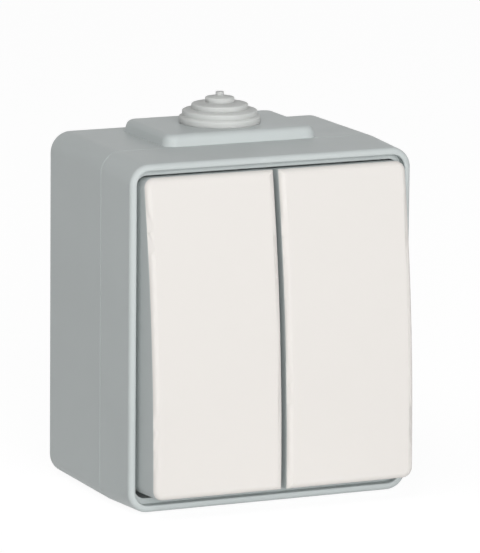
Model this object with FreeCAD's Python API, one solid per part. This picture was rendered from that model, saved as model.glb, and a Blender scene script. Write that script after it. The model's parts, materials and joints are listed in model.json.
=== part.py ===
import FreeCAD, Part

import math
import os

from FreeCAD import Vector

# Surface-mounted weatherproof switch with two rockers. Millimetres.
# Frame: X to the right, Y into the wall, Z up, origin at the centre of the back face.
# A depth is a distance in front of the wall, so a point at depth d lies at y = -d.

# Housing
housing_width = 66.0
housing_height = 75.7
box_depth = 28.3
cover_depth = 14.9
corner_radius = 4.5
wall = 2.0
back_wall = 2.4
box_draft = 0.15
cover_draft = 0.5
seam_break = 0.15
rim_width = 1.5
rim_round = 1.0
rim_inner_round = 0.35
well_depth = 8.8
ledge_drop = 2.2
ledge_clearance = 0.15
floor_thickness = 2.0

# Seam between the two shells
gasket_width = 1.0
gasket_height = 1.4
gasket_clearance = 0.05
spigot_length = 3.5
spigot_wall = 1.4
spigot_clearance = 0.2
spigot_root = 1.2

# Cover screws
screw_inset = 4.2
pillar_radius = 4.6
pillar_drop = 4.0
boss_clearance = 0.1
cover_screw_radius = 1.5
cover_screw_head_radius = 2.8
cover_screw_head_height = 1.4
cover_screw_grip = 9.0
screw_clearance = 0.2
thread_clearance = 0.05
screw_slot_width = 0.7
screw_slot_depth = 0.6

# Fixing to the wall
fixing_spacing_x = 36.0
fixing_spacing_z = 56.0
fixing_hole_radius = 2.25
fixing_collar_radius = 4.5
fixing_collar_height = 1.0

# Cable entry
pad_width = 36.2
pad_back_depth = 3.0
pad_height = 2.5
pad_draft = 0.8
pad_corner_radius = 2.6
pad_round = 1.5
pad_wall = 2.2
gland_hole_radius = 7.8
gland_clearance = 0.1
gland_radius = 8.8
gland_base_height = 1.3
gland_ring_rise = 1.4
gland_ring_angle = 23.0
gland_ring_count = 4
gland_ring_round = 0.3
gland_tread_rise = 0.4
gland_nipple_radius = 0.9
gland_nipple_height = 0.75
gland_skin = 1.2
gland_lip_width = 0.9
gland_lip_height = 1.2
knockout_radius = 8.0
knockout_groove_width = 0.7
knockout_groove_depth = 0.6

# Rockers
rocker_side_gap = 0.8
rocker_middle_gap = 1.1
rocker_end_gap = 1.75
rocker_stand_out = 6.9
rocker_face_radius = 350.0
rocker_face_thickness = 0.9
rocker_wall = 1.6
rocker_edge_round = 1.3
rocker_end_draft = 0.3
rocker_rest_tilt = 5.0
rocker_floor_clearance = 0.65
rocker_rib_thickness = 1.2
rocker_rib_height = 3.0
rocker_rib_spacing = 22.0
rocker_rib_count = 3

# Rocker pivots
pivot_ear_radius = 2.6
pivot_ear_clearance = 0.6
pivot_pin_radius = 1.4
pivot_clearance = 0.05
lug_thickness = 1.8
lug_side_clearance = 0.3

# Actuators
stem_radius = 2.4
stem_shoulder_radius = 3.6
stem_shoulder_height = 1.0
socket_radius = 4.2
socket_stand = 4.0
socket_clearance = 0.03
plunger_radius = 1.45
plunger_clearance = 0.05
plunger_show = 4.0
plunger_hold = 2.5
spring_length = 5.0
spring_radius = 1.05
spring_wire_radius = 0.2
spring_turns = 4
spring_clearance = 0.05

# Membrane
membrane_thickness = 1.2
membrane_height = 26.0
membrane_corner_radius = 2.0
collar_wall = 1.1
collar_stand = 1.0
collar_clearance = 0.15
window_clearance = 0.5

# Mechanism
mechanism_side_room = 7.0
mechanism_end_room = 15.0
base_height = 18.2
base_floor = 3.0
base_corner_radius = 1.5
cap_thickness = 2.0
slot_clearance = 0.3
chamber_width = 15.0
chamber_length = 22.0
ear_radius = 3.2
ear_thickness = 3.0
ear_reach = 3.0
clip_width = 5.0
clip_thickness = 1.2
clip_length = 9.0
clip_hook = 0.8
clip_spacing = 24.0
clip_clearance = 0.1
mechanism_screw_radius = 1.4
mechanism_screw_head_radius = 2.7
mechanism_screw_head_height = 1.8
mechanism_screw_grip = 6.0

# Contacts
strip_thickness = 1.0
strip_width = 4.0
strip_clearance = 0.3
fulcrum_height = 3.0
fulcrum_width = 4.0
fulcrum_radius = 0.5
lever_length = 17.0
lever_width = 5.0
lever_thickness = 1.2
lever_rest_tilt = 4.0
lever_tip_clearance = 0.2
contact_offset = 7.0
contact_radius = 1.4
contact_thickness = 0.6
contact_gap = 0.15
stop_width = 1.4

# Terminal clamps
clamp_offset = 16.0
clamp_width = 6.4
clamp_length = 5.8
clamp_height = 8.0
clamp_wall = 1.0
clamp_clearance = 0.2
clamp_recess = 1.4
terminal_screw_radius = 1.4
terminal_screw_head_radius = 2.3
terminal_screw_head_height = 1.6
terminal_screw_reach = 1.6
terminal_screw_lift = 1.0

# Working values
edge_tolerance = 0.01
round_share = 0.9
inner_round_share = 0.3

# Planes and spans that follow from the sizes above
half_width = housing_width / 2
half_height = housing_height / 2
inner_half_width = half_width - wall
inner_half_height = half_height - wall
inner_radius = corner_radius - wall
rim_depth = box_depth + cover_depth
floor_front = rim_depth - well_depth
floor_back = floor_front - floor_thickness
well_half_width = half_width - cover_draft - rim_width
well_half_height = half_height - cover_draft - rim_width
well_radius = corner_radius - rim_width
rim_inner_fillet = min(rim_inner_round, rim_width * inner_round_share)
rim_fillet = min(rim_round, (rim_width - rim_inner_fillet) * round_share)
ledge_depth = rim_depth - ledge_drop
overrun = 1.0

pillar_top = box_depth - pillar_drop
cover_screw_x = inner_half_width - screw_inset
cover_screw_z = inner_half_height - screw_inset
boss_radius = screw_inset - spigot_clearance - boss_clearance

pad_front_depth = box_depth - seam_break
pad_top = half_height + pad_height
pocket_top = pad_top - pad_wall
gland_depth = (pad_back_depth + pad_front_depth) / 2
gland_lip_radius = gland_hole_radius + gland_lip_width

rocker_width = well_half_width - rocker_side_gap - rocker_middle_gap / 2
rocker_mid = (rocker_middle_gap + rocker_width) / 2
rocker_half_height = well_half_height - rocker_end_gap
rocker_corner_radius = well_radius - rocker_side_gap
rocker_fillet = min(rocker_edge_round, rocker_wall * round_share)
pivot_depth = floor_front + pivot_ear_clearance + pivot_ear_radius
crown_depth = rim_depth + rocker_stand_out
tilt_sine = math.sin(math.radians(rocker_rest_tilt))
tilt_cosine = math.cos(math.radians(rocker_rest_tilt))
skirt_depth = floor_front + rocker_floor_clearance + rocker_half_height * tilt_sine
lug_offset = rocker_width / 2 - rocker_wall - lug_side_clearance - lug_thickness / 2
carrier_crown = crown_depth - rocker_face_thickness
face_inside = carrier_crown - rocker_wall
tilted_half_height = (rocker_half_height + (ledge_depth - pivot_depth) * tilt_sine) / tilt_cosine
lower_half_width = well_half_width - rocker_side_gap + ledge_clearance
lower_half_height = tilted_half_height + ledge_clearance
lower_radius = well_radius - rocker_side_gap + ledge_clearance

membrane_back = floor_back - membrane_thickness
cap_back = membrane_back - cap_thickness
base_back = cap_back - base_height
floor_depth = base_back + base_floor
base_half_width = inner_half_width - mechanism_side_room
base_half_height = inner_half_height - mechanism_end_room
ear_x = base_half_width + ear_reach

strip_top = floor_depth + strip_thickness
lever_axis = strip_top + fulcrum_height
lever_front = lever_axis + lever_thickness
lever_sine = math.sin(math.radians(lever_rest_tilt))
plunger_tip = lever_front + lever_tip_clearance
stem_end = plunger_tip + plunger_show
plunger_end = stem_end + plunger_hold
spring_end = plunger_end + spring_length
socket_end = pivot_depth + socket_stand
collar_radius = stem_radius + (pivot_depth - membrane_back) * tilt_sine + collar_clearance
window_radius = collar_radius + collar_wall + window_clearance
slot_half_length = stem_radius + (pivot_depth - cap_back) * tilt_sine + slot_clearance
contact_drop = (contact_offset + contact_radius) * lever_sine + contact_thickness
contact_front = lever_axis - contact_drop - contact_gap
stop_front = lever_axis - lever_length / 2 * lever_sine - contact_gap
clamp_places = ((0.0, clamp_offset), (-rocker_mid, -clamp_offset), (rocker_mid, -clamp_offset))
sides = (-1, 1)


def block(x0, x1, depth0, depth1, z0, z1):
    """Box between two depths in front of the wall."""
    return Part.makeBox(x1 - x0, depth1 - depth0, z1 - z0, Vector(x0, -depth1, z0))


def rod(radius, x, z, depth0, depth1):
    """Cylinder that points out of the wall."""
    return Part.makeCylinder(radius, depth1 - depth0, Vector(x, -depth0, z), Vector(0, -1, 0))


def cone(radius0, radius1, x, z, depth0, depth1):
    """Cone that points out of the wall."""
    return Part.makeCone(radius0, radius1, depth1 - depth0, Vector(x, -depth0, z), Vector(0, -1, 0))


def cross_rod(radius, x0, x1, depth, z=0.0):
    """Cylinder along X."""
    return Part.makeCylinder(radius, x1 - x0, Vector(x0, -depth, z), Vector(1, 0, 0))


def upright_rod(radius, depth, z0, z1):
    """Cylinder along Z on the middle plane."""
    return Part.makeCylinder(radius, z1 - z0, Vector(0, -depth, z0), Vector(0, 0, 1))


def rounded_loop(half_u, half_v, radius, place):
    """Rounded rectangle, with place turning its two flat coordinates into a point."""
    edges = []
    last = None
    first = None
    for quarter, (sign_u, sign_v) in enumerate(((1, 1), (-1, 1), (-1, -1), (1, -1))):
        arc = []
        for step in range(3):
            angle = math.radians(90 * quarter + 45 * step)
            u = sign_u * (half_u - radius) + radius * math.cos(angle)
            v = sign_v * (half_v - radius) + radius * math.sin(angle)
            arc.append(place(u, v))
        if last is not None:
            edges.append(Part.makeLine(last, arc[0]))
        edges.append(Part.Arc(*arc).toShape())
        first = first or arc[0]
        last = arc[2]
    edges.append(Part.makeLine(last, first))
    return Part.Wire(edges)


def outline(half_x, half_z, radius, depth):
    """Rounded rectangle parallel to the wall."""
    return rounded_loop(half_x, half_z, radius, lambda u, v: Vector(u, -depth, v))


def prism(half_x, half_z, radius, depth0, depth1):
    """Rounded block that stands out of the wall."""
    return Part.Face(outline(half_x, half_z, radius, depth0)).extrude(Vector(0, depth0 - depth1, 0))


def tilted(shape, angle, depth):
    """Shape turned about an axis along X at the given depth."""
    turned = shape.copy()
    turned.rotate(Vector(0, -depth, 0), Vector(1, 0, 0), angle)
    return turned


def joined(shapes):
    """One solid from shapes that overlap."""
    return shapes[0].multiFuse(shapes[1:]).removeSplitter()


def corner_places(half_x, half_z):
    """The four corners of a rectangle centred on the middle."""
    return [(sx * half_x, sz * half_z) for sx in sides for sz in sides]


def entry_pad():
    """Raised pad on the top wall, with drafted sides and a rounded top edge."""
    half_depth = (pad_front_depth - pad_back_depth) / 2

    def loop(inset, z):
        return rounded_loop(pad_width / 2 - inset, half_depth - inset, pad_corner_radius,
                            lambda u, v: Vector(u, v - gland_depth, z))

    pad = Part.makeLoft([loop(0, half_height - wall / 2), loop(pad_draft, pad_top)], True, True)
    top_edges = [edge for edge in pad.Edges if edge.BoundBox.ZMin > pad_top - edge_tolerance]
    return pad.makeFillet(pad_round, top_edges)


def back_box():
    """Rear shell with the cable entry, screw pillars, posts and wall fixing holes."""
    shell = Part.makeLoft([
        outline(half_width - box_draft, half_height - box_draft, corner_radius, 0),
        outline(half_width, half_height, corner_radius, box_depth - seam_break),
        outline(half_width - seam_break, half_height - seam_break, corner_radius - seam_break, box_depth),
    ], True, True)
    shell = joined([shell, entry_pad()])
    mouth = box_depth + overrun
    shell = shell.cut(prism(inner_half_width, inner_half_height, inner_radius, back_wall, mouth))
    inset = pad_wall + pad_draft

    added = []
    removed = [
        block(inset - pad_width / 2, pad_width / 2 - inset, pad_back_depth + inset, pad_front_depth - inset,
              inner_half_height - overrun, pocket_top),
        prism(inner_half_width + gasket_width, inner_half_height + gasket_width, inner_radius + gasket_width,
              box_depth - gasket_height, mouth),
        upright_rod(gland_lip_radius + gland_clearance, gland_depth, inner_half_height - overrun, pocket_top),
        upright_rod(gland_hole_radius, gland_depth, inner_half_height, pad_top + overrun),
        knockout_groove(),
    ]
    for x, z in corner_places(cover_screw_x, cover_screw_z):
        added.append(rod(pillar_radius, x, z, back_wall / 2, pillar_top))
        removed.append(rod(cover_screw_radius + thread_clearance, x, z,
                           pillar_top - cover_screw_grip - overrun, pillar_top + overrun))
    for side in sides:
        added.append(rod(ear_radius, side * ear_x, 0, back_wall / 2, base_back))
        removed.append(rod(mechanism_screw_radius + thread_clearance, side * ear_x, 0,
                           base_back - mechanism_screw_grip - overrun, base_back + overrun))
    for x, z in corner_places(fixing_spacing_x / 2, fixing_spacing_z / 2):
        added.append(rod(fixing_collar_radius, x, z, back_wall / 2, back_wall + fixing_collar_height))
        removed.append(rod(fixing_hole_radius, x, z, -overrun, back_wall + fixing_collar_height + overrun))
    return joined([shell] + added).cut(removed)


def knockout_groove():
    """Ring scored into the bottom wall, for a second cable."""
    bottom = -half_height - overrun
    top = -half_height + knockout_groove_depth
    ring = upright_rod(knockout_radius + knockout_groove_width, gland_depth, bottom, top)
    return ring.cut(upright_rod(knockout_radius, gland_depth, bottom, top))


def cover_gasket():
    """Square rubber ring in the rebate of the seam."""
    reach = gasket_width - gasket_clearance
    depths = (box_depth - gasket_height, box_depth)
    ring = prism(inner_half_width + reach, inner_half_height + reach, inner_radius + reach, *depths)
    return ring.cut(prism(inner_half_width, inner_half_height, inner_radius, *depths))


def pivot_lug(x):
    """Bearing lug on the floor of the well for one rocker pin."""
    x0 = x - lug_thickness / 2
    x1 = x + lug_thickness / 2
    stem = block(x0, x1, floor_front - floor_thickness / 2, pivot_depth, -pivot_ear_radius, pivot_ear_radius)
    return stem.fuse(cross_rod(pivot_ear_radius, x0, x1, pivot_depth))


def inner_rim_edges(shell):
    """Edges where the front of the rim meets the well."""
    found = []
    for edge in shell.Edges:
        box = edge.BoundBox
        beside = max(-box.XMin, box.XMax) < well_half_width + edge_tolerance
        between = max(-box.ZMin, box.ZMax) < well_half_height + edge_tolerance
        if beside and between and box.YMax < edge_tolerance - rim_depth:
            found.append(edge)
    return found


def front_cover():
    """Front shell: rim, stepped rocker well, floor with bearing lugs, spigot and screw bosses."""
    shell = Part.makeLoft([
        outline(half_width - seam_break, half_height - seam_break, corner_radius - seam_break, box_depth),
        outline(half_width, half_height, corner_radius, box_depth + seam_break),
        outline(half_width - cover_draft, half_height - cover_draft, corner_radius, rim_depth),
    ], True, True)
    rim_edges = [edge for edge in shell.Edges if edge.BoundBox.YMax < edge_tolerance - rim_depth]
    shell = shell.makeFillet(rim_fillet, rim_edges)
    shell = shell.cut(prism(well_half_width, well_half_height, well_radius, ledge_depth, rim_depth + overrun))
    shell = shell.makeFillet(rim_inner_fillet, inner_rim_edges(shell))

    spigot_x = inner_half_width - spigot_clearance
    spigot_z = inner_half_height - spigot_clearance
    spigot_radius = inner_radius - spigot_clearance
    spigot_start = box_depth - spigot_length
    root = box_depth + spigot_root
    mouth = prism(spigot_x - spigot_wall, spigot_z - spigot_wall, spigot_radius - spigot_wall / 2,
                  spigot_start - overrun, root + overrun / 2)
    shell = shell.fuse(prism(spigot_x, spigot_z, spigot_radius, spigot_start, box_depth + seam_break))
    shell = shell.cut([
        prism(lower_half_width, lower_half_height, lower_radius, floor_front, rim_depth),
        prism(inner_half_width, inner_half_height, inner_radius, root, floor_back),
        mouth,
    ])

    added = []
    removed = []
    hole = cover_screw_radius + screw_clearance
    sink = cover_screw_head_radius + screw_clearance
    for x, z in corner_places(cover_screw_x, cover_screw_z):
        added.append(rod(boss_radius, x, z, pillar_top, floor_back + floor_thickness / 2))
        removed.append(rod(hole, x, z, pillar_top - overrun, floor_front))
        removed.append(cone(hole, sink, x, z, floor_front - cover_screw_head_height, floor_front))
    for side in sides:
        removed.append(rod(window_radius, side * rocker_mid, 0, floor_back - overrun, floor_front + overrun))
        for end in sides:
            x = side * rocker_mid + end * lug_offset
            added.append(pivot_lug(x))
            removed.append(cross_rod(pivot_pin_radius + pivot_clearance, x - lug_thickness, x + lug_thickness,
                                     pivot_depth))
    return joined([shell] + added).cut(removed)


def ring_size(ring, base):
    """Radius of one ring of the gland and the height of its upper edge."""
    angle = math.radians(gland_ring_angle * ring)
    return gland_radius * math.cos(angle), base + gland_ring_rise * ring


def cable_gland():
    """Stepped rubber cone with a closed tip, a neck through the pad and a lip behind it."""
    base = pad_top + gland_base_height
    crown = base + gland_ring_rise * (gland_ring_count - 1)
    tip = crown + gland_tread_rise + gland_nipple_height
    points = [Vector(0, 0, tip), Vector(gland_nipple_radius, 0, tip)]
    for ring in reversed(range(gland_ring_count)):
        radius, top = ring_size(ring, base)
        points.append(Vector(points[-1].x, 0, top + gland_tread_rise))
        points.append(Vector(radius, 0, top))
    neck = gland_hole_radius - gland_clearance
    hollow = gland_hole_radius - gland_skin
    lip_end = pocket_top - gland_lip_height
    points += [
        Vector(gland_radius, 0, pad_top),
        Vector(neck, 0, pad_top),
        Vector(neck, 0, pocket_top),
        Vector(gland_lip_radius, 0, pocket_top),
        Vector(gland_lip_radius, 0, lip_end),
        Vector(hollow, 0, lip_end),
        Vector(hollow, 0, pad_top),
    ]
    crest = crown - gland_skin
    half_way = math.pi / 4
    middle = Vector(hollow * math.cos(half_way), 0, pad_top + (crest - pad_top) * math.sin(half_way))
    crest_edge = Vector(gland_nipple_radius, 0, crest)
    edges = [Part.makeLine(a, b) for a, b in zip(points, points[1:])]
    edges.append(Part.Arc(points[-1], middle, crest_edge).toShape())
    edges.append(Part.makeLine(crest_edge, Vector(0, 0, crest)))
    edges.append(Part.makeLine(Vector(0, 0, crest), points[0]))
    gland = Part.Face(Part.Wire(edges)).revolve(Vector(0, 0, 0), Vector(0, 0, 1), 360)
    gland = gland.makeFillet(gland_ring_round, ring_edges(gland, base))
    gland.translate(Vector(0, -gland_depth, 0))
    return gland


def ring_edges(gland, base):
    """Upper outer edges of the gland's rings."""
    found = []
    for ring in range(gland_ring_count):
        radius, top = ring_size(ring, base)
        for edge in gland.Edges:
            box = edge.BoundBox
            level = abs(box.ZMin - top) < edge_tolerance and abs(box.ZMax - top) < edge_tolerance
            if level and abs(box.XMax - radius) < edge_tolerance:
                found.append(edge)
    return found


def countersunk_screw(x, z):
    """Cover screw with its head flush with the floor of the well."""
    neck = floor_front - cover_screw_head_height
    screw = rod(cover_screw_radius, x, z, pillar_top - cover_screw_grip, neck)
    head = cone(cover_screw_radius, cover_screw_head_radius, x, z, neck, floor_front)
    return joined([screw, head]).cut(screw_slot(x, z, cover_screw_head_radius, floor_front))


def pan_screw(radius, head_radius, x, z, tip, seat, head_height):
    """Slotted pan-head screw from its tip to its seat, with the head in front."""
    screw = rod(radius, x, z, tip, seat)
    head = rod(head_radius, x, z, seat, seat + head_height)
    return joined([screw, head]).cut(screw_slot(x, z, head_radius, seat + head_height))


def screw_slot(x, z, head_radius, front):
    """Slot across a screw head."""
    return block(x - head_radius, x + head_radius, front - screw_slot_depth, front + overrun,
                 z - screw_slot_width / 2, z + screw_slot_width / 2)


def rocker_profile(end_inset, face_inset, rear, x0, x1):
    """Rocker section with the convex face, drawn out along X and kept in from its ends and face."""
    half = rocker_half_height - end_inset
    radius = rocker_face_radius - face_inset
    crown = crown_depth - face_inset
    edge = crown - radius + math.sqrt(radius ** 2 - half ** 2)
    heel = half - rocker_end_draft
    top = Vector(x0, -edge, half)
    bottom = Vector(x0, -edge, -half)
    edges = [
        Part.Arc(bottom, Vector(x0, -crown, 0), top).toShape(),
        Part.makeLine(top, Vector(x0, -rear, heel)),
        Part.makeLine(Vector(x0, -rear, heel), Vector(x0, -rear, -heel)),
        Part.makeLine(Vector(x0, -rear, -heel), bottom),
    ]
    return Part.Face(Part.Wire(edges)).extrude(Vector(x1 - x0, 0, 0))


def outer_corners(solid, x):
    """The two edges along the depth on the outer side of a rocker."""
    found = []
    for edge in solid.Edges:
        box = edge.BoundBox
        beside = abs(box.XMin - x) < edge_tolerance and abs(box.XMax - x) < edge_tolerance
        if beside and box.ZMin * box.ZMax > 0:
            found.append(edge)
    return found


def rocker_span(side):
    """The left and right sides of a rocker."""
    middle = side * rocker_mid
    return middle - rocker_width / 2, middle + rocker_width / 2


def rocker_solid(side):
    """Outer form of a whole rocker, before it is tilted."""
    x0, x1 = rocker_span(side)
    solid = rocker_profile(0, 0, skirt_depth, x0, x1)
    solid = solid.makeFillet(rocker_corner_radius, outer_corners(solid, x1 if side > 0 else x0))
    face = min(solid.Faces, key=lambda part: part.CenterOfMass.y)
    return solid.makeFillet(rocker_fillet, face.Edges)


def carrier_room(side):
    """Everything behind the face plate of a rocker."""
    x0, x1 = rocker_span(side)
    return rocker_profile(-overrun, rocker_face_thickness, skirt_depth - overrun, x0 - overrun, x1 + overrun)


def rocker_face(side):
    """Thin convex face plate that covers the front of a rocker."""
    return tilted(rocker_solid(side).cut(carrier_room(side)), -rocker_rest_tilt, pivot_depth)


def rocker(side):
    """Hollow rocker with ribs, a socket for its stem and pivot pins on two ears."""
    middle = side * rocker_mid
    x0, x1 = rocker_span(side)
    solid = rocker_solid(side).common(carrier_room(side))
    cap = solid.cut(rocker_profile(rocker_wall, rocker_face_thickness + rocker_wall, skirt_depth - overrun,
                                   x0 + rocker_wall, x1 - rocker_wall))

    inner = [rod(socket_radius, middle, 0, socket_end, face_inside + rocker_wall / 2)]
    for rib in range(rocker_rib_count):
        z = (rib - (rocker_rib_count - 1) / 2) * rocker_rib_spacing
        inner.append(block(x0 + rocker_wall / 2, x1 - rocker_wall / 2, face_inside - rocker_rib_height,
                           carrier_crown, z - rocker_rib_thickness / 2, z + rocker_rib_thickness / 2))
    added = [shape.common(solid) for shape in inner]
    for end in sides:
        outer = middle + end * rocker_width / 2
        inside = outer - end * rocker_wall
        tip = inside - end * (lug_side_clearance + lug_thickness)
        low, high = sorted((outer, inside))
        added.append(cross_rod(pivot_ear_radius, low, high, pivot_depth))
        added.append(block(low, high, pivot_depth, skirt_depth + rocker_wall,
                           -pivot_ear_radius, pivot_ear_radius))
        low, high = sorted((outer - end * rocker_wall / 2, tip))
        added.append(cross_rod(pivot_pin_radius, low, high, pivot_depth))
    cap = joined([cap] + added)
    cap = cap.cut(rod(stem_radius + socket_clearance, middle, 0, socket_end - overrun, face_inside))
    return tilted(cap, -rocker_rest_tilt, pivot_depth)


def actuator(side):
    """Stem that plugs into the rocker and carries the sprung plunger in its end."""
    x = side * rocker_mid
    stem = rod(stem_radius, x, 0, stem_end, face_inside)
    shoulder = rod(stem_shoulder_radius, x, 0, socket_end - stem_shoulder_height, socket_end)
    bore = rod(plunger_radius + plunger_clearance, x, 0, stem_end - overrun, spring_end)
    return tilted(joined([stem, shoulder]).cut(bore), -rocker_rest_tilt, pivot_depth)


def plunger(side):
    """Round-nosed pin that slides in the stem."""
    x = side * rocker_mid
    nose = plunger_tip + plunger_radius
    ball = Part.makeSphere(plunger_radius, Vector(x, -nose, 0))
    pin = joined([rod(plunger_radius, x, 0, nose, plunger_end), ball])
    return tilted(pin, -rocker_rest_tilt, pivot_depth)


def plunger_spring(side):
    """Compression spring between the plunger and the end of its bore."""
    margin = spring_wire_radius + spring_clearance
    height = spring_length - 2 * margin
    path = Part.makeHelix(height / spring_turns, height, spring_radius)
    ring = Part.Wire(Part.makeCircle(spring_wire_radius, Vector(spring_radius, 0, 0), Vector(0, 1, 0)))
    coil = Part.Wire(path.Edges).makePipeShell([ring], True, True)
    coil.rotate(Vector(0, 0, 0), Vector(1, 0, 0), 90)
    coil.translate(Vector(side * rocker_mid, -plunger_end - margin, 0))
    return tilted(coil, -rocker_rest_tilt, pivot_depth)


def rocker_membrane():
    """Rubber sheet behind the floor, with a collar that reaches through each window."""
    sheet = prism(base_half_width, membrane_height / 2, membrane_corner_radius, membrane_back, floor_back)
    collars = []
    holes = []
    for side in sides:
        x = side * rocker_mid
        collars.append(rod(collar_radius + collar_wall, x, 0, membrane_back, floor_front + collar_stand))
        holes.append(rod(collar_radius, x, 0, membrane_back - overrun, floor_front + collar_stand + overrun))
    return joined([sheet] + collars).cut(holes)


def mechanism_base():
    """Moulded block with two contact chambers, three clamp pockets and two screw ears."""
    base = prism(base_half_width, base_half_height, base_corner_radius, base_back, cap_back)
    added = []
    removed = []
    for side in sides:
        x = side * rocker_mid
        removed.append(block(x - chamber_width / 2, x + chamber_width / 2, floor_depth, cap_back + overrun,
                             -chamber_length / 2, chamber_length / 2))
        ear_top = base_back + ear_thickness
        low, high = sorted((side * (base_half_width - overrun), side * ear_x))
        added.append(block(low, high, base_back, ear_top, -ear_radius, ear_radius))
        added.append(rod(ear_radius, side * ear_x, 0, base_back, ear_top))
        removed.append(rod(mechanism_screw_radius + screw_clearance, side * ear_x, 0,
                           base_back - overrun, ear_top + overrun))
        for z in (-clip_spacing / 2, clip_spacing / 2):
            removed.append(clip_notch(side, z))
    channel = strip_width / 2 + strip_clearance
    removed.append(block(-rocker_mid, rocker_mid, floor_depth, cap_back + overrun, -channel, channel))
    removed.append(block(-channel, channel, floor_depth, cap_back + overrun, 0, clamp_offset))
    for x, z in clamp_places:
        removed.append(clamp_pocket(x, z))
    for side in sides:
        x = side * rocker_mid
        removed.append(block(x - channel, x + channel, floor_depth, cap_back + overrun, -clamp_offset, 0))
    base = joined([base] + added).cut(removed)
    stops = []
    for side in sides:
        x = side * rocker_mid
        stops.append(block(x - lever_width / 2, x + lever_width / 2, floor_depth - base_floor / 2, stop_front,
                           lever_length / 2 - stop_width, lever_length / 2))
    return joined([base] + stops)


def clamp_pocket(x, z):
    """Room for one wire cage, open to the front and to the nearest end of the block."""
    half = clamp_width / 2 + clamp_clearance
    inner_z = abs(z) - clamp_length / 2 - clamp_clearance
    low, high = sorted((math.copysign(inner_z, z), math.copysign(base_half_height + overrun, z)))
    return block(x - half, x + half, floor_depth - clamp_recess, cap_back + overrun, low, high)


def clip_hook_span():
    """Depths between which a clip hooks into the side of the block."""
    end = cap_back - clip_length
    return end, end + clip_thickness


def clip_notch(side, z):
    """Notch in the side of the block for one clip hook."""
    start, end = clip_hook_span()
    inside = side * (base_half_width - clip_hook - clip_clearance)
    low, high = sorted((inside, side * (base_half_width + overrun)))
    half = clip_width / 2 + clip_clearance
    return block(low, high, start - clip_clearance, end + clip_clearance, z - half, z + half)


def mechanism_cap():
    """Plate over the chambers, slotted for the stems and clipped to the block."""
    reach = clip_clearance + clip_thickness
    plate = prism(base_half_width + reach, clip_spacing / 2 + clip_width / 2, base_corner_radius,
                  cap_back, membrane_back)
    added = []
    removed = []
    hook_start, hook_end = clip_hook_span()
    for side in sides:
        x = side * rocker_mid
        half = stem_radius + slot_clearance
        removed.append(block(x - half, x + half, cap_back - overrun, membrane_back + overrun,
                             half - slot_half_length, slot_half_length - half))
        for end in sides:
            z = end * (slot_half_length - half)
            removed.append(rod(half, x, z, cap_back - overrun, membrane_back + overrun))
        for z in (-clip_spacing / 2, clip_spacing / 2):
            inside = side * (base_half_width + clip_clearance)
            outside = side * (base_half_width + reach)
            hook = side * (base_half_width - clip_hook)
            low, high = sorted((inside, outside))
            added.append(block(low, high, hook_start, cap_back + cap_thickness / 2,
                               z - clip_width / 2, z + clip_width / 2))
            low, high = sorted((hook, outside))
            added.append(block(low, high, hook_start, hook_end, z - clip_width / 2, z + clip_width / 2))
    return joined([plate] + added).cut(removed)


def mechanism_screws():
    """The two screws that hold the block on the posts of the back box."""
    seat = base_back + ear_thickness
    screws = []
    for side in sides:
        screws.append(pan_screw(mechanism_screw_radius, mechanism_screw_head_radius, side * ear_x, 0,
                                base_back - mechanism_screw_grip, seat, mechanism_screw_head_height))
    return Part.makeCompound(screws)


def strip(x0, x1, z0, z1):
    """Flat brass strip on the floor of the block."""
    return block(x0, x1, floor_depth, strip_top, z0, z1)


def fulcrum(x):
    """Upright tab with a round tip that one lever rocks on."""
    x0 = x - fulcrum_width / 2
    x1 = x + fulcrum_width / 2
    tab = block(x0, x1, floor_depth + strip_thickness / 2, lever_axis, -fulcrum_radius, fulcrum_radius)
    return tab.fuse(cross_rod(fulcrum_radius, x0, x1, lever_axis))


def common_terminal():
    """Incoming strip that feeds both levers."""
    half = strip_width / 2
    reach = rocker_mid + fulcrum_width / 2
    pieces = [strip(-reach, reach, -half, half), strip(-half, half, -half, clamp_offset + clamp_length / 2)]
    pieces += [fulcrum(side * rocker_mid) for side in sides]
    return joined(pieces)


def outgoing_terminal(side):
    """Outgoing strip from the fixed contact to its clamp."""
    x = side * rocker_mid
    half = strip_width / 2
    return strip(x - half, x + half, -clamp_offset - clamp_length / 2, half - contact_offset)


def fixed_contacts():
    """Contact buttons on the two outgoing strips."""
    buttons = []
    for side in sides:
        buttons.append(rod(contact_radius, side * rocker_mid, -contact_offset, strip_top, contact_front))
    return Part.makeCompound(buttons)


def contact_lever(side):
    """Rocking bridge with a half-round groove over the fulcrum."""
    x0 = side * rocker_mid - lever_width / 2
    x1 = side * rocker_mid + lever_width / 2
    bar = block(x0, x1, lever_axis, lever_front, -lever_length / 2, lever_length / 2)
    bar = bar.cut(cross_rod(fulcrum_radius + pivot_clearance, x0, x1, lever_axis))
    return tilted(bar, lever_rest_tilt, lever_axis)


def moving_contact(side):
    """Contact button on the back of a lever."""
    x = side * rocker_mid
    button = rod(contact_radius, x, -contact_offset, lever_axis - contact_thickness, lever_axis)
    return tilted(button, lever_rest_tilt, lever_axis)


def terminal_clamp(x, z):
    """Wire cage round the end of a strip, open along Z, with a hole for its screw."""
    rear = floor_depth - clamp_wall
    front = rear + clamp_height
    half = clamp_width / 2
    cage = block(x - half, x + half, rear, front, z - clamp_length / 2, z + clamp_length / 2)
    window = block(x - half + clamp_wall, x + half - clamp_wall, floor_depth, front - clamp_wall,
                   z - clamp_length, z + clamp_length)
    return cage.cut([window, rod(terminal_screw_radius + thread_clearance, x, z, front - clamp_wall, front)])


def terminal_screw(x, z):
    """Screw that closes one wire cage."""
    front = floor_depth - clamp_wall + clamp_height
    seat = front + terminal_screw_lift
    return pan_screw(terminal_screw_radius, terminal_screw_head_radius, x, z,
                     front - clamp_wall - terminal_screw_reach, seat, terminal_screw_head_height)


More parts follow.
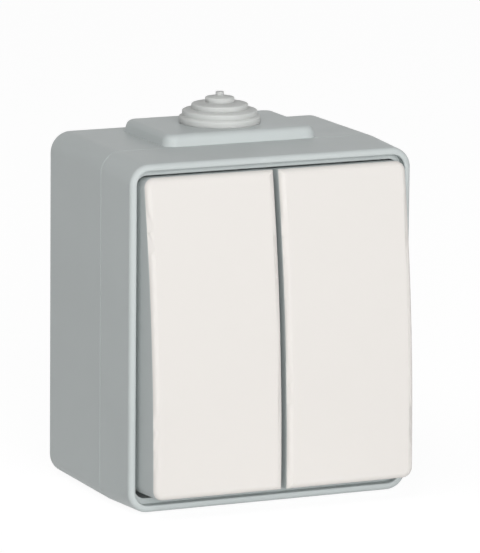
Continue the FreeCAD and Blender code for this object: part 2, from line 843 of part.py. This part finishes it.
nodes = {
    "back_box": back_box(),
    "front_cover": front_cover(),
    "cover_gasket": cover_gasket(),
    "cable_gland": cable_gland(),
    "rocker_membrane": rocker_membrane(),
    "cover_screws": Part.makeCompound(
        [countersunk_screw(x, z) for x, z in corner_places(cover_screw_x, cover_screw_z)]),
    "mechanism_base": mechanism_base(),
    "mechanism_cap": mechanism_cap(),
    "mechanism_screws": mechanism_screws(),
    "common_terminal": common_terminal(),
    "fixed_contacts": fixed_contacts(),
    "terminal_clamps": Part.makeCompound([terminal_clamp(x, z) for x, z in clamp_places]),
    "terminal_screws": Part.makeCompound([terminal_screw(x, z) for x, z in clamp_places]),
}
for side_name, side in zip(("left", "right"), sides):
    nodes[side_name + "_rocker"] = rocker(side)
    nodes[side_name + "_rocker_face"] = rocker_face(side)
    nodes[side_name + "_actuator"] = actuator(side)
    nodes[side_name + "_plunger"] = plunger(side)
    nodes[side_name + "_plunger_spring"] = plunger_spring(side)
    nodes[side_name + "_contact_lever"] = contact_lever(side)
    nodes[side_name + "_moving_contact"] = moving_contact(side)
    nodes[side_name + "_terminal"] = outgoing_terminal(side)

os.makedirs("parts", exist_ok=True)
for name, shape in nodes.items():
    shape.exportStep(os.path.join("parts", name + ".step"))
    print(name, len(shape.Solids), round(shape.Volume, 2), shape.isValid())
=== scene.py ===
import json
import math

import bpy
from mathutils import Matrix, Vector


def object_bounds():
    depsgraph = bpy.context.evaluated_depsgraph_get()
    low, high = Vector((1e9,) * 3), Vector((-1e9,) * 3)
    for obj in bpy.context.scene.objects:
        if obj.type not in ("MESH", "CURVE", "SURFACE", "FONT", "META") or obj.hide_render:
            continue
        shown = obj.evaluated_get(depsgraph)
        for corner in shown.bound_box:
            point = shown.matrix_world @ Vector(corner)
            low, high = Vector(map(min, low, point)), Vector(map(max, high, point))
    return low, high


# Weatherproof double rocker switch, dressed for a plain studio. Lengths are in metres.

# Camera, with its angles in degrees and its lens and sensor in millimetres
CAMERA_TURN = 24.318
CAMERA_ELEVATION = 11.107
CAMERA_ROLL = 0.516
CAMERA_DISTANCE = 1.2307
CAMERA_SIDESTEP = 0.01111
CAMERA_LIFT = 0.00366
CAMERA_REACH = 100.0
CAMERA_LENS = 365.94
SENSOR_HEIGHT = 36.0

# Floor, with the share of its own shading and the white that the camera sees
FLOOR_SIZE = 8.0
FLOOR_COLOUR = (0.90, 0.90, 0.90, 1.0)
FLOOR_ROUGHNESS = 0.9
FLOOR_SPECULAR = 0.1
FLOOR_SHADING = 0.18
FLOOR_WHITE = 0.92

# Lights: name, place, width, height, power in watts
LIGHTS = (
    ("key", (-0.31, -1.76, 0.37), 1.6, 0.7, 24.0),
    ("side", (-0.76, -0.57, 1.54), 1.2, 1.2, 7.0),
)
LIGHTS_LOOK_AT = Vector((0.0, -0.025, 0.0))

# World: the even light all round, and the white that is seen behind the object
AMBIENT = 0.18
BACKDROP = 1.0
WHITE = (1.0, 1.0, 1.0, 1.0)

# Colours, as linear values
HOUSING_COLOUR = (0.565, 0.605, 0.602)
ROCKER_COLOUR = (0.78, 0.752, 0.72)
GLAND_COLOUR = (0.625, 0.64, 0.625)
SEAL_COLOUR = (0.035, 0.035, 0.036)
MECHANISM_COLOUR = (0.10, 0.10, 0.105)
ACTUATOR_COLOUR = (0.74, 0.72, 0.66)
STEEL_COLOUR = (0.60, 0.60, 0.58)
BRASS_COLOUR = (0.62, 0.42, 0.16)
CONTACT_COLOUR = (0.72, 0.71, 0.68)

# Noise fields, and the stretch of their values that is spread over a colour or a gloss
DRIFT_NOISE = {"Detail": 3.0, "Roughness": 0.55}
PATCH_NOISE = {"Detail": 4.0, "Roughness": 0.6}
GRAIN_NOISE = {"Detail": 2.0, "Roughness": 0.5}
STREAK_NOISE = {"Detail": 3.0, "Roughness": 0.6}
MIDDLE_STRETCH = (0.3, 0.7)
WHOLE_STRETCH = (0.0, 1.0)

# What all moulded materials share, with noise scales per metre
PLASTIC_DRIFT_SCALE = 45.0
PLASTIC_PATCH_SCALE = 180.0
PLASTIC_GLOSS_SPREAD = 0.04
GRAIN_STRENGTH = 0.35

# What all metals share, with the noise scale per metre
METAL_DRIFT_SCALE = 300.0
METAL_ROUGHNESS = 0.38
METAL_GLOSS_SPREAD = 0.08
STREAK_STRENGTH = 0.25
STREAK_HEIGHT = 0.00001

# Slots of the record whose rounded edges are shaded evenly
EVENED_SLOTS = ("rocker", "carrier")


def set_sockets(node, values):
    """Sets constants on a node's own sockets."""
    for name, value in values.items():
        node.inputs[name].default_value = value


def add_node(tree, kind, values):
    """A new node with constants on its sockets."""
    node = tree.nodes.new(kind)
    set_sockets(node, values)
    return node


def add_noise(tree, place, scale, field):
    """Noise over the given coordinates."""
    noise = add_node(tree, "ShaderNodeTexNoise", {"Scale": scale, **field})
    tree.links.new(place, noise.inputs["Vector"])
    return noise.outputs["Fac"]


def add_math(tree, operation, first, second):
    """Joins an output with another output or with a constant."""
    node = tree.nodes.new("ShaderNodeMath")
    node.operation = operation
    tree.links.new(first, node.inputs[0])
    if isinstance(second, float):
        node.inputs[1].default_value = second
    else:
        tree.links.new(second, node.inputs[1])
    return node.outputs["Value"]


def new_material(name):
    """A new node material, its tree and its Principled shader."""
    material = bpy.data.materials.new(name)
    material.use_nodes = True
    tree = material.node_tree
    return material, tree, tree.nodes["Principled BSDF"]


def object_place(tree):
    """Coordinates that stay with the object."""
    return tree.nodes.new("ShaderNodeTexCoord").outputs["Object"]


def vary_colour(tree, shader, noise, colour, spread):
    """Colour that drifts a little over the surface."""
    ramp = tree.nodes.new("ShaderNodeValToRGB")
    factors = (1.0 - spread, 1.0 + spread)
    for element, position, factor in zip(ramp.color_ramp.elements, MIDDLE_STRETCH, factors):
        element.position = position
        element.color = [min(1.0, channel * factor) for channel in colour] + [1.0]
    tree.links.new(noise, ramp.inputs["Fac"])
    tree.links.new(ramp.outputs["Color"], shader.inputs["Base Color"])


def vary_gloss(tree, shader, noise, stretch, roughness, spread):
    """Gloss that varies to both sides of a roughness."""
    limits = {"From Min": stretch[0], "From Max": stretch[1]}
    limits.update({"To Min": roughness - spread, "To Max": roughness + spread})
    gloss = add_node(tree, "ShaderNodeMapRange", limits)
    tree.links.new(noise, gloss.inputs["Value"])
    tree.links.new(gloss.outputs["Result"], shader.inputs["Roughness"])


def add_relief(tree, shader, noise, strength, height):
    """Fine relief as bump."""
    bump = add_node(tree, "ShaderNodeBump", {"Strength": strength, "Distance": height})
    tree.links.new(noise, bump.inputs["Height"])
    tree.links.new(bump.outputs["Normal"], shader.inputs["Normal"])


def plastic(name, colour, spread, roughness, grain_scale, grain_height, sockets):
    """Moulded plastic or rubber: drifting colour, uneven gloss and a fine grain."""
    material, tree, shader = new_material(name)
    place = object_place(tree)
    drift = add_noise(tree, place, PLASTIC_DRIFT_SCALE, DRIFT_NOISE)
    patches = add_noise(tree, place, PLASTIC_PATCH_SCALE, PATCH_NOISE)
    grain = add_noise(tree, place, grain_scale, GRAIN_NOISE)
    vary_colour(tree, shader, drift, colour, spread)
    vary_gloss(tree, shader, patches, MIDDLE_STRETCH, roughness, PLASTIC_GLOSS_SPREAD)
    add_relief(tree, shader, grain, GRAIN_STRENGTH, grain_height)
    set_sockets(shader, sockets)
    return material


def housing_plastic():
    """Light grey satin plastic of the two shells and the rocker carriers."""
    return plastic(
        "housing_plastic",
        HOUSING_COLOUR,
        spread=0.02,
        roughness=0.42,
        grain_scale=5200.0,
        grain_height=0.00003,
        sockets={"Specular IOR Level": 0.22},
    )


def rocker_plastic():
    """Smooth satin warm white plastic of the rocker fronts."""
    return plastic(
        "rocker_plastic",
        ROCKER_COLOUR,
        spread=0.002,
        roughness=0.46,
        grain_scale=900.0,
        grain_height=0.000004,
        sockets={"Specular IOR Level": 0.22},
    )


def gland_rubber():
    """Soft matt grey rubber of the cable gland, which lets a little light through."""
    return plastic(
        "gland_rubber",
        GLAND_COLOUR,
        spread=0.025,
        roughness=0.62,
        grain_scale=3600.0,
        grain_height=0.00002,
        sockets={
            "Specular IOR Level": 0.35,
            "Subsurface Weight": 0.8,
            "Subsurface Radius": (1.0, 1.0, 1.0),
            "Subsurface Scale": 0.003,
        },
    )


def seal_rubber():
    """Black rubber of the gasket and the membrane."""
    return plastic(
        "seal_rubber",
        SEAL_COLOUR,
        spread=0.08,
        roughness=0.66,
        grain_scale=3000.0,
        grain_height=0.00003,
        sockets={},
    )


def mechanism_plastic():
    """Dark grey moulding of the contact block."""
    return plastic(
        "mechanism_plastic",
        MECHANISM_COLOUR,
        spread=0.05,
        roughness=0.50,
        grain_scale=2600.0,
        grain_height=0.00003,
        sockets={},
    )


def actuator_plastic():
    """Natural white plastic of the stems and plungers."""
    return plastic(
        "actuator_plastic",
        ACTUATOR_COLOUR,
        spread=0.02,
        roughness=0.38,
        grain_scale=2200.0,
        grain_height=0.00001,
        sockets={},
    )


def metal(name, colour, spread, streak_scale, stretch):
    """Metal with a drifting colour and streaks in its gloss and relief."""
    material, tree, shader = new_material(name)
    set_sockets(shader, {"Metallic": 1.0})
    place = object_place(tree)
    drift = add_noise(tree, place, METAL_DRIFT_SCALE, DRIFT_NOISE)
    mapping = add_node(tree, "ShaderNodeMapping", {"Scale": stretch})
    tree.links.new(place, mapping.inputs["Vector"])
    streaks = add_noise(tree, mapping.outputs["Vector"], streak_scale, STREAK_NOISE)
    vary_colour(tree, shader, drift, colour, spread)
    vary_gloss(tree, shader, streaks, WHOLE_STRETCH, METAL_ROUGHNESS, METAL_GLOSS_SPREAD)
    add_relief(tree, shader, streaks, STREAK_STRENGTH, STREAK_HEIGHT)
    return material


def zinc_steel():
    """Zinc-plated steel of the screws and springs."""
    return metal(
        "zinc_steel",
        STEEL_COLOUR,
        spread=0.05,
        streak_scale=900.0,
        stretch=(1.0, 1.0, 6.0),
    )


def pressed_brass():
    """Pressed brass of the terminals, the clamps and the contact levers."""
    return metal(
        "pressed_brass",
        BRASS_COLOUR,
        spread=0.06,
        streak_scale=700.0,
        stretch=(1.0, 5.0, 1.0),
    )


def contact_silver():
    """Silver of the contact buttons, without a direction in its streaks."""
    return metal(
        "contact_silver",
        CONTACT_COLOUR,
        spread=0.04,
        streak_scale=1200.0,
        stretch=(1.0, 1.0, 1.0),
    )


def seen_directly(tree, share):
    """The given share for camera, glossy and transmission rays, and nothing for other rays."""
    path = tree.nodes.new("ShaderNodeLightPath")
    seen = path.outputs["Is Camera Ray"]
    for name in ("Is Glossy Ray", "Is Transmission Ray"):
        seen = add_math(tree, "MAXIMUM", seen, path.outputs[name])
    return add_math(tree, "MULTIPLY", seen, share)


def floor_material():
    """Pale floor that is seen as white, with a part of its own shading for the object's shadow."""
    material, tree, shader = new_material("floor_white")
    set_sockets(shader, {"Base Color": FLOOR_COLOUR, "Roughness": FLOOR_ROUGHNESS})
    set_sockets(shader, {"Specular IOR Level": FLOOR_SPECULAR})
    dimmed = tree.nodes.new("ShaderNodeMixShader")
    white = add_node(tree, "ShaderNodeEmission", {"Color": WHITE})
    both = tree.nodes.new("ShaderNodeAddShader")
    tree.links.new(seen_directly(tree, 1.0 - FLOOR_SHADING), dimmed.inputs[0])
    tree.links.new(seen_directly(tree, FLOOR_WHITE), white.inputs["Strength"])
    tree.links.new(shader.outputs["BSDF"], dimmed.inputs[1])
    tree.links.new(dimmed.outputs["Shader"], both.inputs[0])
    tree.links.new(white.outputs["Emission"], both.inputs[1])
    tree.links.new(both.outputs["Shader"], tree.nodes["Material Output"].inputs["Surface"])
    return material


def even_shading(node):
    """Lets the large facets set the shading, so that long thin ones at the edges show less."""
    modifier = node.modifiers.new("even_shading", "WEIGHTED_NORMAL")
    modifier.mode = "FACE_AREA"


def dress(frame):
    """Gives every CAD node its material by the record's slots."""
    grey = housing_plastic()
    finishes = {
        "housing": grey,
        "carrier": grey,
        "rocker": rocker_plastic(),
        "gland": gland_rubber(),
        "seal": seal_rubber(),
        "mechanism": mechanism_plastic(),
        "actuator": actuator_plastic(),
        "steel": zinc_steel(),
        "brass": pressed_brass(),
        "contact": contact_silver(),
    }
    for subpart in frame["record"]["subparts"]:
        slot = subpart["material_slot"]
        node = frame["nodes"][subpart["node"]]
        node.data.materials.clear()
        node.data.materials.append(finishes[slot])
        if slot in EVENED_SLOTS:
            even_shading(node)


def add_floor(low):
    """Floor plane under the lowest point of the object."""
    half = FLOOR_SIZE / 2
    mesh = bpy.data.meshes.new("floor")
    corners = [(-half, -half, low), (half, -half, low), (half, half, low), (-half, half, low)]
    mesh.from_pydata(corners, [], [(0, 1, 2, 3)])
    floor = bpy.data.objects.new("floor", mesh)
    floor.data.materials.append(floor_material())
    bpy.context.scene.collection.objects.link(floor)


def add_lights():
    """Soft area lamps that look at the object."""
    for name, place, width, height, power in LIGHTS:
        lamp = bpy.data.lights.new(name, "AREA")
        lamp.shape = "RECTANGLE"
        lamp.size = width
        lamp.size_y = height
        lamp.energy = power
        holder = bpy.data.objects.new(name, lamp)
        holder.location = place
        aim = LIGHTS_LOOK_AT - holder.location
        holder.rotation_euler = aim.to_track_quat("-Z", "Y").to_euler()
        bpy.context.scene.collection.objects.link(holder)


def add_world():
    """Plain even light all round, seen as a white backdrop."""
    world = bpy.data.worlds.new("studio")
    world.use_nodes = True
    tree = world.node_tree
    background = tree.nodes["Background"]
    set_sockets(background, {"Color": WHITE})
    level = add_math(tree, "ADD", seen_directly(tree, BACKDROP - AMBIENT), AMBIENT)
    tree.links.new(level, background.inputs["Strength"])
    bpy.context.scene.world = world


def add_camera():
    """Long lens at the photograph's angle."""
    turn = math.radians(CAMERA_TURN)
    elevation = math.radians(CAMERA_ELEVATION)
    roll = math.radians(CAMERA_ROLL)
    level = math.cos(elevation)
    forward = Vector((math.sin(turn) * level, math.cos(turn) * level, -math.sin(elevation)))
    right = Vector((math.cos(turn), -math.sin(turn), 0.0))
    up = right.cross(forward)
    place = right * CAMERA_SIDESTEP + up * CAMERA_LIFT - forward * CAMERA_DISTANCE
    axis_x = right * math.cos(roll) + up * math.sin(roll)
    axis_y = up * math.cos(roll) - right * math.sin(roll)
    lens = bpy.data.cameras.new("camera")
    lens.sensor_fit = "VERTICAL"
    lens.sensor_height = SENSOR_HEIGHT
    lens.lens = CAMERA_LENS
    lens.clip_end = CAMERA_REACH
    camera = bpy.data.objects.new("camera", lens)
    turned = Matrix((axis_x, axis_y, -forward)).transposed()
    camera.matrix_world = Matrix.Translation(place) @ turned.to_4x4()
    bpy.context.scene.collection.objects.link(camera)
    bpy.context.scene.camera = camera


with open("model.json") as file:
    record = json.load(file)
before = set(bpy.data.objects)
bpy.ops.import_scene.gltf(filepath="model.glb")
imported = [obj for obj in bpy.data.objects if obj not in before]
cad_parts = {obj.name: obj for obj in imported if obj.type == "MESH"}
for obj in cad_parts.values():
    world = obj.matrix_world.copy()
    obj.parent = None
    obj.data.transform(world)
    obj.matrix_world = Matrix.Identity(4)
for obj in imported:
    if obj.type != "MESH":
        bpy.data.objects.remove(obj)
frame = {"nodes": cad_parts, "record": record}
cad_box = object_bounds()
bpy.context.scene.view_settings.view_transform = "Standard"
dress(frame)
add_floor(cad_box[0][2])
add_lights()
add_world()
add_camera()
